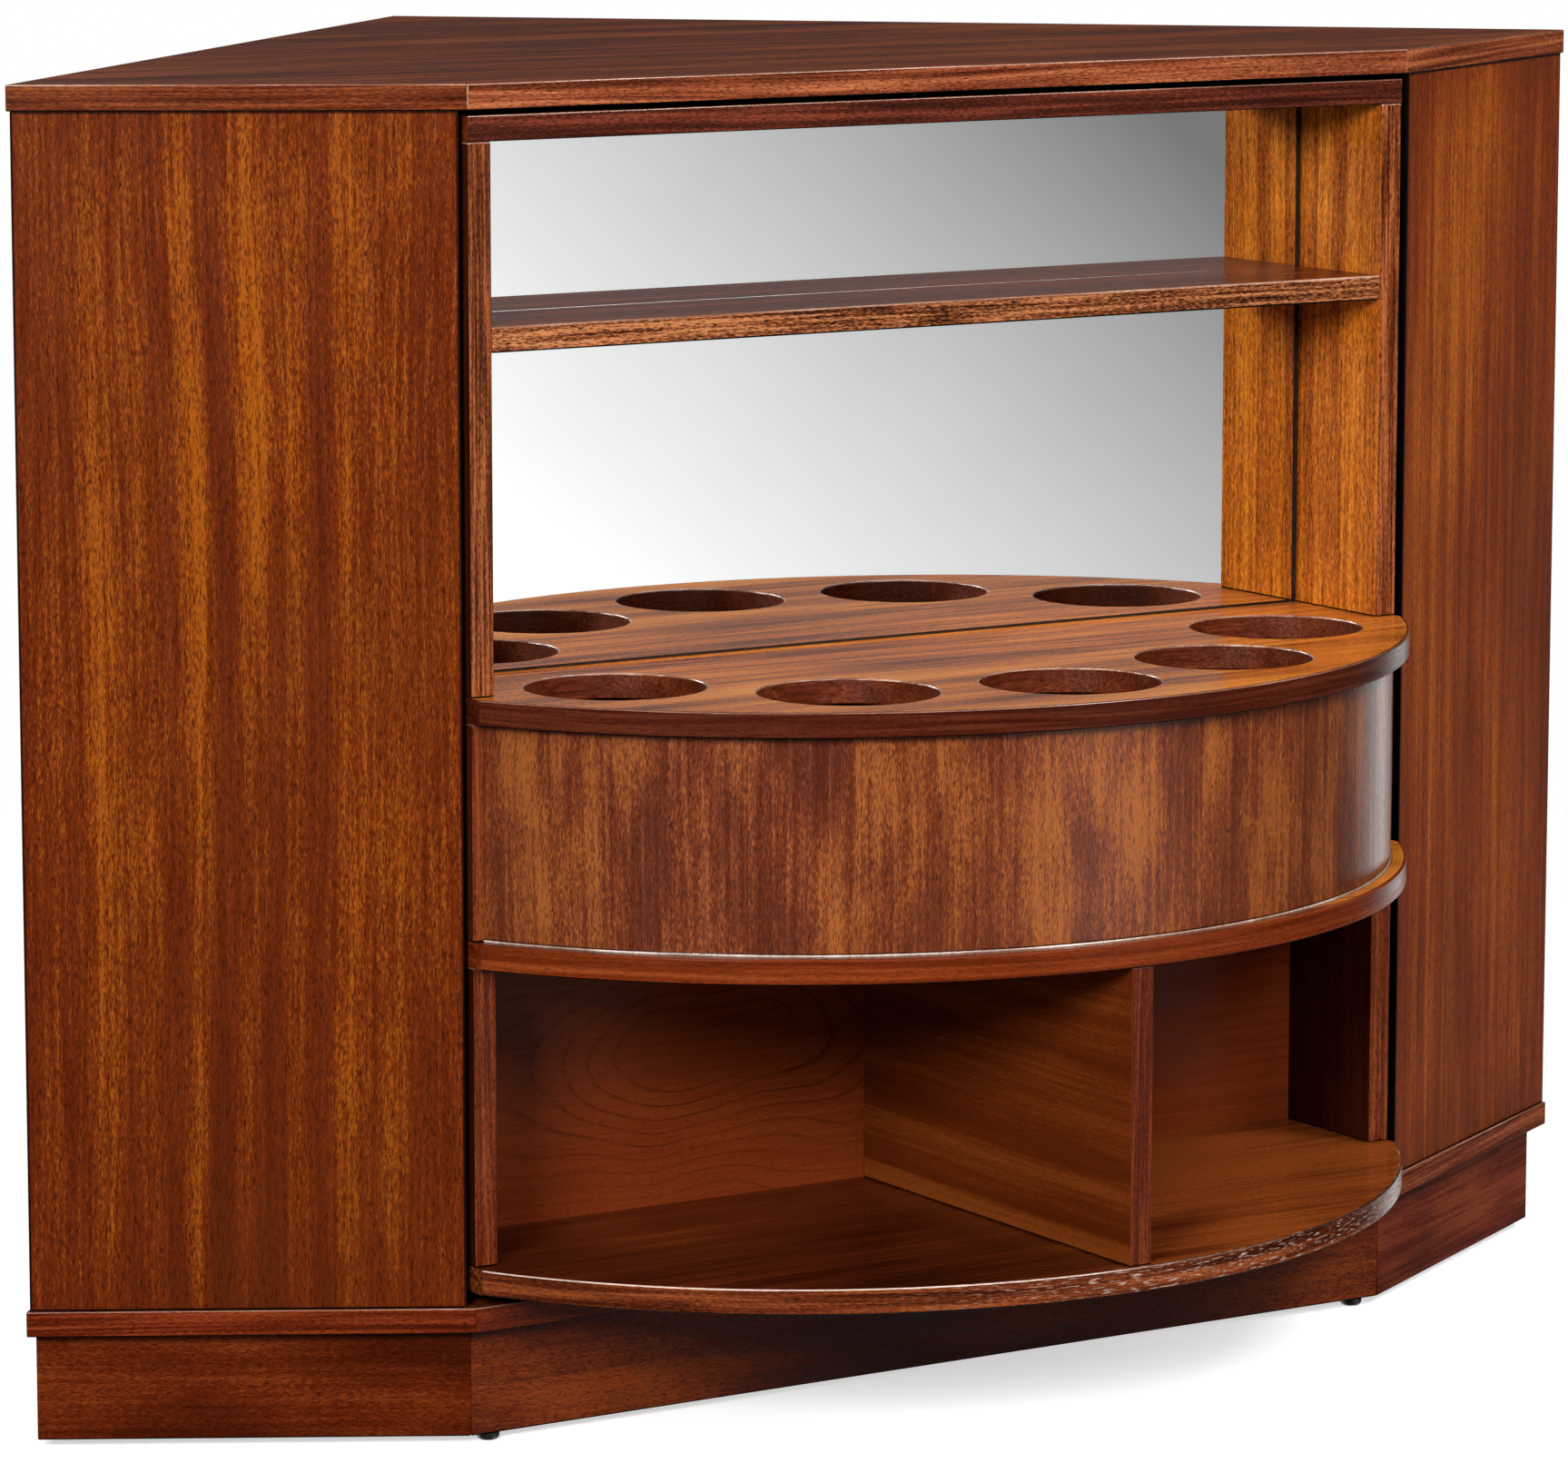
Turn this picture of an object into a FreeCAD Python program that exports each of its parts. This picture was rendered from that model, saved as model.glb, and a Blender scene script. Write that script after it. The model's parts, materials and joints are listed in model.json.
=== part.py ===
import FreeCAD, Part
import math
import os

os.makedirs("parts", exist_ok=True)

# Plan of the fixed carcass, front line along X, millimetres
board = 18.0
front_length = 800.0
wing_length = 313.0
wing_turn = 30.0
wall_turn = 45.0
lipping = 2.0
edge_ease = 1.0
panel_set_in = 1.5
wall_set_in = 2.0
wall_panel = 9.0
post_size = 32.0
reveal = 4.0
plinth_set_in = 13.0

# Heights, from the floor upwards
foot_height = 6.0
plinth_height = 77.0
bearing_gap = 10.0
lower_clear = 213.0
well_clear = 153.0
below_shelf_clear = 238.0
above_shelf_clear = 127.0
top_gap = 4.0

# Plan of the revolving bar unit
unit_side_gap = 2.5
unit_set_back = 3.5
niche_depth = 99.5
mirror_thickness = 4.0
back_thickness = 8.0
mirror_gap = 1.0
bow_reach = 241.0
bow_side = 7.12
apron_set_in = 12.0
apron_thickness = 6.0
divider_set_in = 3.0

# Bottle holes, on a ring of their own, and the wood left round them
hole_diameter = 128.0
holes_each_side = 2
hole_edge = 31.0
hole_side = 48.9
hole_back = 38.8

# Turntable bearing and top pivot
ring_outer = 37.0
ring_inner = 16.0
race_radius = 26.5
ball_radius = 2.5
ball_count = 10
ball_sides = 8
race_clearance = 0.3
cage_width = 8.0
cage_thickness = 1.2
pivot_radius = 5.0
pivot_clearance = 0.05
pivot_head_radius = 11.0
pivot_head = 3.0
pivot_reach = 11.0
bush_wall = 2.0
bush_depth = 12.0

# Levelling feet
foot_radius = 8.5
foot_dome = 2.5
foot_sides = 24
foot_clearance = 0.3
stem_radius = 4.0
stem_length = 26.0
sleeve_wall = 2.0
sleeve_sides = 6
sleeve_length = 30.0
thread_clearance = 0.05
foot_end = 16.0
foot_wall_end = 60.0

# Loose tongues and glue blocks
tongue_thickness = 5.0
tongue_length = 50.0
tongue_in_board = 8.0
tongue_in_panel = 14.0
tongue_end = 75.0
block_leg = 45.0
block_height = 60.0

# Levels worked out from the heights
plinth_bottom = foot_height
base_bottom = plinth_bottom + plinth_height
base_top = base_bottom + board
low_bottom = base_top + bearing_gap
low_top = low_bottom + board
mid_bottom = low_top + lower_clear
mid_top = mid_bottom + board
rack_bottom = mid_top + well_clear
rack_top = rack_bottom + board
shelf_bottom = rack_top + below_shelf_clear
shelf_top = shelf_bottom + board
cap_bottom = shelf_top + above_shelf_clear
cap_top = cap_bottom + board
roof_bottom = cap_top + top_gap
roof_top = roof_bottom + board

# Plan places worked out from the sizes
half_front = front_length / 2
wing_run = wing_length * math.cos(math.radians(wing_turn))
wing_rise = wing_length * math.sin(math.radians(wing_turn))
end_x = half_front + wing_run
corner_y = wing_rise + end_x * math.tan(math.radians(wall_turn))
unit_half = half_front - unit_side_gap
inner_half = unit_half - board
unit_front = unit_set_back
mirror_front = unit_front + niche_depth
back_front = mirror_front + mirror_thickness
back_rear = back_front + back_thickness
axis_y = (unit_front + back_rear) / 2
bow = bow_reach - bow_side
arc_radius = (unit_half ** 2 + bow ** 2) / (2 * bow)
arc_front = -bow_reach
arc_centre = arc_front + arc_radius
centre_shift = -(arc_front + corner_y) / 2
hole_radius = hole_diameter / 2
outer_hole_x = unit_half - hole_side - hole_radius
outer_hole_y = mirror_front - hole_back - hole_radius
middle_hole_y = arc_front + hole_edge + hole_radius
hole_bow = outer_hole_y - middle_hole_y
hole_ring = (outer_hole_x ** 2 + hole_bow ** 2) / (2 * hole_bow)
hole_ring_centre = middle_hole_y + hole_ring
hole_turn = math.atan2(outer_hole_x, hole_ring_centre - outer_hole_y) / holes_each_side
stem_hole_radius = stem_radius + thread_clearance
sleeve_radius = (stem_hole_radius + sleeve_wall) / math.cos(math.pi / sleeve_sides)
bush_bore = pivot_radius + pivot_clearance
bush_radius = bush_bore + bush_wall
ball_level = base_top + bearing_gap / 2
ring_thickness = bearing_gap / 2 - ball_radius - race_clearance

# Sides of the plan, each walked with the inside on its left
plan = {
    "front": ((-half_front, 0.0), (half_front, 0.0)),
    "right_wing": ((half_front, 0.0), (end_x, wing_rise)),
    "right_wall": ((end_x, wing_rise), (0.0, corner_y)),
    "left_wall": ((0.0, corner_y), (-end_x, wing_rise)),
    "left_wing": ((-end_x, wing_rise), (-half_front, 0.0)),
    "left_reveal": ((-half_front - reveal, 1.0), (-half_front - reveal, 0.0)),
    "right_reveal": ((half_front + reveal, 0.0), (half_front + reveal, 1.0)),
}

UP = FreeCAD.Vector(0, 0, 1)


def save(name, shape):
    shape.translated(FreeCAD.Vector(0, centre_shift, 0)).exportStep("parts/" + name + ".step")


def save_group(name, solids):
    save(name, Part.makeCompound(solids))


def heading(side):
    (x0, y0), (x1, y1) = plan[side]
    run = math.hypot(x1 - x0, y1 - y0)
    return (x1 - x0) / run, (y1 - y0) / run


def corner(first, first_inset, second, second_inset):
    """Plan point where two sides cross after each is moved inwards."""
    ax, ay = heading(first)
    bx, by = heading(second)
    px = plan[first][0][0] - ay * first_inset
    py = plan[first][0][1] + ax * first_inset
    qx = plan[second][0][0] - by * second_inset
    qy = plan[second][0][1] + bx * second_inset
    distance = ((qx - px) * by - (qy - py) * bx) / (ax * by - ay * bx)
    return px + ax * distance, py + ay * distance


def along(point, side, distance):
    dx, dy = heading(side)
    return point[0] + dx * distance, point[1] + dy * distance


def flat_face(corners):
    return Part.Face(Part.makePolygon(corners + corners[:1]))


def slab(points, bottom, top):
    outline = [FreeCAD.Vector(x, y, bottom) for x, y in points]
    return flat_face(outline).extrude(UP * (top - bottom))


def block(x0, x1, y0, y1, bottom, top):
    return slab([(x0, y0), (x1, y0), (x1, y1), (x0, y1)], bottom, top)


def strip(side, outer, inner, start, start_cut, finish, finish_cut):
    """Plan outline of a board along one side, cut by the sides it meets."""
    return [
        corner(side, outer, start, start_cut[0]),
        corner(side, outer, finish, finish_cut[0]),
        corner(side, inner, finish, finish_cut[1]),
        corner(side, inner, start, start_cut[1]),
    ]


def rod(point, bottom, top, radius):
    return Part.makeCylinder(radius, top - bottom, FreeCAD.Vector(point[0], point[1], bottom), UP)


def round_points(centre, radius, count):
    points = []
    for step in range(count):
        turn = 2 * math.pi * step / count
        points.append((centre[0] + radius * math.cos(turn), centre[1] + radius * math.sin(turn)))
    return points


def faceted(centre, profile, sides):
    """Small round piece of flat facets, from radius and height pairs that climb from its foot."""
    rings = []
    for radius, height in profile:
        rings.append([FreeCAD.Vector(x, y, height) for x, y in round_points(centre, radius, sides)])
    faces = [flat_face(rings[0]), flat_face(rings[-1])]
    for lower, upper in zip(rings, rings[1:]):
        for step in range(sides):
            corners = [lower[step - 1], lower[step], upper[step], upper[step - 1]]
            faces.append(flat_face(corners))
    return Part.Solid(Part.Shell(faces))


def tongue_outline(point, side):
    """Plan outline of a loose tongue whose middle is at point, lengthwise along one side."""
    dx, dy = heading(side)
    outline = []
    for length, thickness in ((-0.5, -0.5), (0.5, -0.5), (0.5, 0.5), (-0.5, 0.5)):
        x, y = along(point, side, length * tongue_length)
        outline.append((x - dy * thickness * tongue_thickness, y + dx * thickness * tongue_thickness))
    return outline


def tongue_over(point, side, level):
    return slab(tongue_outline(point, side), level - tongue_in_board, level + tongue_in_panel)


def tongue_under(point, side, level):
    return slab(tongue_outline(point, side), level - tongue_in_panel, level + tongue_in_board)


# Fixed carcass


def board_core():
    return [
        corner("left_wing", lipping, "front", lipping),
        corner("front", lipping, "right_wing", lipping),
        corner("right_wing", lipping, "right_wall", 0),
        corner("right_wall", 0, "left_wall", 0),
        corner("left_wall", 0, "left_wing", lipping),
    ]


def eased_lipping(outline, bottom, top):
    band = slab(outline, bottom, top)
    (x0, y0), (x1, y1) = outline[0], outline[1]
    middle = FreeCAD.Vector((x0 + x1) / 2, (y0 + y1) / 2, 0)
    edges = []
    for edge in band.Edges:
        centre = edge.CenterOfMass
        flat = FreeCAD.Vector(centre.x, centre.y, 0)
        if flat.distanceToPoint(middle) < lipping / 10:
            edges.append(edge)
    return band.makeFillet(edge_ease, edges)


def board_lippings(bottom, top):
    mitre = (0, lipping)
    square = (0, 0)
    outlines = {
        "front": strip("front", 0, lipping, "left_wing", mitre, "right_wing", mitre),
        "left": strip("left_wing", 0, lipping, "left_wall", square, "front", mitre),
        "right": strip("right_wing", 0, lipping, "front", mitre, "right_wall", square),
    }
    return {side: eased_lipping(outline, bottom, top) for side, outline in outlines.items()}


def wing_outline(wing, wall, gap):
    outer = panel_set_in
    inner = panel_set_in + board
    return strip(wing, outer, inner, wall, (wall_set_in, wall_set_in), gap, (0, 0))


def wing_tongue_points(wing, wall, gap):
    middle = panel_set_in + board / 2
    wall_end = corner(wing, middle, wall, wall_set_in)
    front_end = corner(wing, middle, gap, 0)
    inwards = tongue_end if wing == "left_wing" else -tongue_end
    return [along(wall_end, wing, inwards), along(front_end, wing, -inwards)]


def post_outline():
    near = wall_set_in + wall_panel
    far = near + post_size
    return [
        corner("right_wall", near, "left_wall", near),
        corner("right_wall", near, "left_wall", far),
        corner("right_wall", far, "left_wall", far),
        corner("right_wall", far, "left_wall", near),
    ]


def carcass_tongues():
    tongues = []
    for hand in ("left_", "right_"):
        wing = hand + "wing"
        for point in wing_tongue_points(wing, hand + "wall", hand + "reveal"):
            tongues.append(tongue_over(point, wing, base_top))
            tongues.append(tongue_under(point, wing, roof_bottom))
    return tongues


def wall_panel_outlines():
    inner = wall_set_in + wall_panel
    wing = (panel_set_in + board, panel_set_in + board)
    edge = (wall_set_in, wall_set_in)
    left = strip("left_wall", wall_set_in, inner, "right_wall", edge, "left_wing", wing)
    right = strip("right_wall", wall_set_in, inner, "right_wing", wing, "left_wall", (inner, inner))
    return left, right


def plinth_outlines():
    outer = plinth_set_in
    inner = plinth_set_in + board
    mitre = (outer, inner)
    butt = (inner, inner)
    wall = (wall_set_in, wall_set_in)
    wall_inner = wall_set_in + board
    lap = (wall_inner, wall_inner)
    return {
        "plinth_front": strip("front", outer, inner, "left_wing", mitre, "right_wing", mitre),
        "plinth_left": strip("left_wing", outer, inner, "left_wall", wall, "front", mitre),
        "plinth_right": strip("right_wing", outer, inner, "front", mitre, "right_wall", wall),
        "plinth_wall_left": strip("left_wall", wall[0], wall_inner, "right_wall", wall, "left_wing", butt),
        "plinth_wall_right": strip("right_wall", wall[0], wall_inner, "right_wing", butt, "left_wall", lap),
    }


def glue_block(first, first_inset, second, second_inset):
    inner = corner(first, first_inset, second, second_inset)
    outline = [inner, along(inner, second, block_leg), along(inner, first, -block_leg)]
    return slab(outline, base_bottom - block_height, base_bottom)


def glue_blocks():
    face = plinth_set_in + board
    wall = wall_set_in + board
    return [
        glue_block("left_wing", face, "front", face),
        glue_block("front", face, "right_wing", face),
        glue_block("right_wing", face, "right_wall", wall),
        glue_block("right_wall", wall, "left_wall", wall),
        glue_block("left_wall", wall, "left_wing", face),
    ]


def foot_points():
    middle = plinth_set_in + board / 2
    wall_middle = wall_set_in + board / 2
    left_front = corner("left_wing", middle, "front", middle)
    right_front = corner("front", middle, "right_wing", middle)
    left_end = corner("left_wall", wall_middle, "left_wing", plinth_set_in + board)
    right_end = corner("right_wing", plinth_set_in + board, "right_wall", wall_middle)
    return {
        "front_left": along(left_front, "front", foot_end),
        "front_right": along(right_front, "front", -foot_end),
        "wall_left": along(left_end, "left_wall", -foot_wall_end),
        "wall_right": along(right_end, "right_wall", foot_wall_end),
        "back": corner("right_wall", wall_middle, "left_wall", wall_middle),
    }


def foot(point):
    top = foot_height - foot_clearance
    profile = [(foot_radius - foot_dome, 0), (foot_radius, foot_dome), (foot_radius, top)]
    stem = rod(point, top, foot_height + stem_length, stem_radius)
    return faceted(point, profile, foot_sides).fuse(stem)


def sleeve_space(point):
    outline = round_points(point, sleeve_radius, sleeve_sides)
    return slab(outline, plinth_bottom, plinth_bottom + sleeve_length)


def sleeve(point):
    bore = rod(point, plinth_bottom, plinth_bottom + sleeve_length, stem_hole_radius)
    return sleeve_space(point).cut(bore)


def save_carcass():
    tongues = Part.makeCompound(carcass_tongues())
    save("carcass_tongues", tongues)
    bush_space = rod((0, axis_y), roof_bottom, roof_bottom + bush_depth, bush_radius)
    save("top_board", slab(board_core(), roof_bottom, roof_top).cut(tongues).cut(bush_space))
    save("base_board", slab(board_core(), base_bottom, base_top).cut(tongues))
    for side, band in board_lippings(roof_bottom, roof_top).items():
        save("top_lipping_" + side, band)
    for side, band in board_lippings(base_bottom, base_top).items():
        save("base_lipping_" + side, band)

    left_wing = wing_outline("left_wing", "left_wall", "left_reveal")
    right_wing = wing_outline("right_wing", "right_wall", "right_reveal")
    save("left_wing_panel", slab(left_wing, base_top, roof_bottom).cut(tongues))
    save("right_wing_panel", slab(right_wing, base_top, roof_bottom).cut(tongues))
    left_wall, right_wall = wall_panel_outlines()
    save("left_wall_panel", slab(left_wall, base_top, roof_bottom))
    save("right_wall_panel", slab(right_wall, base_top, roof_bottom))
    save("corner_post", slab(post_outline(), base_top, roof_bottom))
    save("bearing_base_ring", bearing_ring(base_top))
    save("pivot_bush", pivot_bush())


def save_plinth():
    feet = foot_points()
    sleeves = Part.makeCompound([sleeve_space(point) for point in feet.values()])
    for name, outline in plinth_outlines().items():
        save(name, slab(outline, plinth_bottom, base_bottom).cut(sleeves))
    save_group("plinth_glue_blocks", glue_blocks())
    save_group("foot_sleeves", [sleeve(point) for point in feet.values()])
    for place, point in feet.items():
        save("foot_" + place, foot(point))


# Turntable bearing and top pivot


def bearing_ring(bottom):
    centre = (0, axis_y)
    top = bottom + ring_thickness
    return rod(centre, bottom, top, ring_outer).cut(rod(centre, bottom, top, ring_inner))


def bearing_ball(point):
    profile = []
    for rise in (-80, -40, 0, 40, 80):
        turn = math.radians(rise)
        profile.append((ball_radius * math.cos(turn), ball_level + ball_radius * math.sin(turn)))
    return faceted(point, profile, ball_sides)


def bearing_balls():
    return [bearing_ball(point) for point in round_points((0, axis_y), race_radius, ball_count)]


def bearing_cage(balls):
    centre = (0, axis_y)
    bottom = ball_level - cage_thickness / 2
    top = ball_level + cage_thickness / 2
    outer = rod(centre, bottom, top, race_radius + cage_width / 2)
    return outer.cut(rod(centre, bottom, top, race_radius - cage_width / 2)).cut(Part.makeCompound(balls))


def pivot_bush():
    centre = (0, axis_y)
    top = roof_bottom + bush_depth
    return rod(centre, roof_bottom, top, bush_radius).cut(rod(centre, roof_bottom, top, bush_bore))


def pivot_pin():
    centre = (0, axis_y)
    head = rod(centre, cap_bottom - pivot_head, cap_bottom, pivot_head_radius)
    return head.fuse(rod(centre, cap_bottom, roof_bottom + pivot_reach, pivot_radius))


# Revolving bar unit


def arc_end(radius):
    return arc_centre - math.sqrt(radius ** 2 - unit_half ** 2)


def d_board(radius, bottom, top):
    """Board with a straight back and sides and a bowed front of the given radius."""
    left = FreeCAD.Vector(-unit_half, arc_end(radius), bottom)
    right = FreeCAD.Vector(unit_half, arc_end(radius), bottom)
    nose = FreeCAD.Vector(0, arc_centre - radius, bottom)
    back_right = FreeCAD.Vector(unit_half, back_front, bottom)
    back_left = FreeCAD.Vector(-unit_half, back_front, bottom)
    edges = [Part.Arc(left, nose, right).toShape()]
    edges.append(Part.makeLine(right, back_right))
    edges.append(Part.makeLine(back_right, back_left))
    edges.append(Part.makeLine(back_left, left))
    return Part.Face(Part.Wire(edges)).extrude(UP * (top - bottom))


def d_core(bottom, top):
    return d_board(arc_radius - lipping, bottom, top)


def d_lipping(bottom, top):
    return d_board(arc_radius, bottom, top).cut(d_core(bottom, top))


def hole_points():
    points = []
    for step in range(-holes_each_side, holes_each_side + 1):
        turn = step * hole_turn
        points.append((hole_ring * math.sin(turn), hole_ring_centre - hole_ring * math.cos(turn)))
    return points


def side_panel(hand, bottom, top):
    edges = sorted((hand * inner_half, hand * unit_half))
    return block(edges[0], edges[1], unit_front, back_front, bottom, top)


def curved_apron():
    centre = (0, arc_centre)
    outer = arc_radius - apron_set_in
    bow = rod(centre, mid_top, rack_bottom, outer)
    bow = bow.cut(rod(centre, mid_top, rack_bottom, outer - apron_thickness))
    return bow.common(block(-unit_half, unit_half, arc_front, unit_front, mid_top, rack_bottom))


def mirror():
    half = inner_half - mirror_gap
    glass = block(-half, half, mirror_front, back_front, rack_top, cap_bottom - mirror_gap)
    edges = []
    for edge in glass.Edges:
        box = edge.BoundBox
        if box.YMax - mirror_front < edge_ease:
            edges.append(edge)
    return glass.makeChamfer(edge_ease, edges)


def side_tongues():
    tongues = []
    middle = (unit_front + back_front) / 2
    for x in (board / 2 - unit_half, unit_half - board / 2):
        for level in (low_top, mid_top, rack_top):
            tongues.append(tongue_over((x, middle), "right_reveal", level))
        for level in (mid_bottom, rack_bottom, cap_bottom):
            tongues.append(tongue_under((x, middle), "right_reveal", level))
    return tongues


def shelf_tongues():
    middle = (unit_front + mirror_front) / 2
    level = (shelf_bottom + shelf_top) / 2
    tongues = []
    for hand in (-1, 1):
        x0, x1 = sorted((hand * (inner_half - tongue_in_panel), hand * (inner_half + tongue_in_board)))
        y0 = middle - tongue_length / 2
        y1 = middle + tongue_length / 2
        tongues.append(block(x0, x1, y0, y1, level - tongue_thickness / 2, level + tongue_thickness / 2))
    return tongues


def save_sides(tongues):
    spans = {
        "lower": (low_top, mid_bottom),
        "mid": (mid_top, rack_bottom),
        "upper": (rack_top, cap_bottom),
    }
    for name, (bottom, top) in spans.items():
        save(name + "_left_side", side_panel(-1, bottom, top).cut(tongues))
        save(name + "_right_side", side_panel(1, bottom, top).cut(tongues))


def save_niche(tongues):
    pin = pivot_pin()
    save("pivot_pin", pin)
    cap = block(-unit_half, unit_half, unit_front, back_front, cap_bottom, cap_top)
    front_edges = []
    for edge in cap.Edges:
        if edge.Length > unit_half and edge.CenterOfMass.y < unit_front + edge_ease:
            front_edges.append(edge)
    save("unit_top_panel", cap.makeFillet(edge_ease, front_edges).cut(tongues).cut(pin))
    shelf = block(-inner_half, inner_half, unit_front, mirror_front, shelf_bottom, shelf_top)
    save("display_shelf", shelf.cut(tongues))
    save("mirror", mirror())
    save("back_panel", block(-unit_half, unit_half, back_front, back_rear, low_bottom, cap_top))


def save_bowed_boards(tongues):
    holes = [rod(point, rack_bottom, rack_top, hole_radius) for point in hole_points()]
    save("bottle_rack_board", d_core(rack_bottom, rack_top).cut(tongues).cut(Part.makeCompound(holes)))
    save("bottle_rack_lipping", d_lipping(rack_bottom, rack_top))
    save("curved_apron", curved_apron())
    save("well_floor", d_core(mid_bottom, mid_top).cut(tongues))
    save("well_floor_lipping", d_lipping(mid_bottom, mid_top))
    divider_front = arc_front + divider_set_in
    divider = block(-board / 2, board / 2, divider_front, back_front, low_top, mid_bottom)
    save("compartment_divider", divider)
    save("lower_shelf", d_core(low_bottom, low_top).cut(tongues))
    save("lower_shelf_lipping", d_lipping(low_bottom, low_top))
    save("bearing_top_ring", bearing_ring(low_bottom - ring_thickness))


def save_unit():
    tongues = Part.makeCompound(side_tongues() + shelf_tongues())
    save("unit_tongues", tongues)
    save_sides(tongues)
    save_niche(tongues)
    save_bowed_boards(tongues)


def save_bearing_cage():
    balls = bearing_balls()
    save_group("bearing_balls", balls)
    save("bearing_cage", bearing_cage(balls))


save_carcass()
save_plinth()
save_bearing_cage()
save_unit()
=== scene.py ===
import json
import math

import bmesh
import bpy
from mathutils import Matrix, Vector

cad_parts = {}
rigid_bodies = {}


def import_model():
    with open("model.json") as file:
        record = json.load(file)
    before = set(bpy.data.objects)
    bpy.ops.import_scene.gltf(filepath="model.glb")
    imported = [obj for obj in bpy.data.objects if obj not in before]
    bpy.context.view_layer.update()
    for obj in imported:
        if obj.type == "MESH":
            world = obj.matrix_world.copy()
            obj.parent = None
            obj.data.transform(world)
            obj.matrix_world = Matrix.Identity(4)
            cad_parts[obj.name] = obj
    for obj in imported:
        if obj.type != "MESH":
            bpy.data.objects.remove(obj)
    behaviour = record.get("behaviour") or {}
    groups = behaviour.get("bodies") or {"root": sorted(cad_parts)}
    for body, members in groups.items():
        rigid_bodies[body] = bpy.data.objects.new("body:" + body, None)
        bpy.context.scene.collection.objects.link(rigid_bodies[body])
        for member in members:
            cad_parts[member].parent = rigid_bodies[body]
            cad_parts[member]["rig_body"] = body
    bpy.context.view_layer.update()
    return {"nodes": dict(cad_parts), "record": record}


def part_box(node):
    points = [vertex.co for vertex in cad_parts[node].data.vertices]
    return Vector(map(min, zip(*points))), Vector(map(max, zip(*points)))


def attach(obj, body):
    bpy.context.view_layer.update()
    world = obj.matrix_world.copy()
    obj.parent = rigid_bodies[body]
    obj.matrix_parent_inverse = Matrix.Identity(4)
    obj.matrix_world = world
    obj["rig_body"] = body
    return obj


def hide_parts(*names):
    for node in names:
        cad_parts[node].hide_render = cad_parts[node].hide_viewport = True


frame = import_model()

X = Vector((1, 0, 0))
Y = Vector((0, 1, 0))
Z = Vector((0, 0, 1))
FRONT = -Y
WING_TURN = math.radians(30)
LEFT_ALONG = Vector((math.cos(WING_TURN), -math.sin(WING_TURN), 0))
RIGHT_ALONG = Vector((math.cos(WING_TURN), math.sin(WING_TURN), 0))

# Sizes in metres
EASE = 0.0012
LIPPING_EASE = 0.0014
RIM_EASE = 0.0011
RIM_REACH = 0.0025
RAIL_CORNER = 0.005
ARRIS_WIDTH = 0.002
HOLE_RADIUS = 0.064
HOLE_MARGIN = 1e-4
APRON_THICKNESS = 0.006
FILLET = 0.0016
MIRROR_ARRIS = 0.0005
MIRROR_BORDER = 0.0022
MIRROR_SIDE_BORDER = 0.0045
FOOT_HEAD = 0.0057
FOOT_DOME = 0.0035
FOOT_FLAT = 0.0045
FOOT_STEM = 0.004
FOOT_EASE = 0.0006
NEAR = 1e-5
WELD = 1e-6

# Angles between faces from which an edge counts as an arris, as a rim and as sharp, or below which it is flat
ARRIS_ANGLE = math.radians(25)
RIM_ANGLE = math.radians(60)
SHARP_ANGLE = math.radians(35)
FLAT_ANGLE = math.radians(0.5)

# Share of a face's normal along a direction, from which the face looks that way or squarely that way
LOOKS_THERE = 0.6
LOOKS_SQUARELY = 0.9
ON_AXIS = 0.975

# Steps along the bow, round a bottle hole and round a foot
BOW_STEPS = 120
HOLE_STEPS = 96
FOOT_STEPS = 48

# Shift of the grain from one piece to the next, so that no two boards look alike
GRAIN_STEP = (0.731, 0.417, 1.933)

# Middle of the growth lines on the back panel, and their closeness across and upwards
FIGURE_X = -0.135
FIGURE_Z = 0.243
FIGURE_ACROSS = 14
FIGURE_UP = 42

# Lighter band of wood along the divider's foot, and the height over which it fades
DIVIDER_BAND = 0.0145
DIVIDER_BAND_FADE = 0.002

# Stage in metres, lens in millimetres, camera angles in degrees
FLOOR_REACH = 60
SHADOW_REACH = 1.1
WHITE_FROM = 2.4
AIM = Vector((0, -0.2, 0.5))
LAMP_DISTANCE = 5.0
SENSOR_WIDTH = 36
LENS = 158.5
CAMERA_PLACE = (-2.7168, -4.3922, 1.2380)
CAMERA_DROP = 8.8119
CAMERA_TURN = 32.10


# Materials


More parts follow.
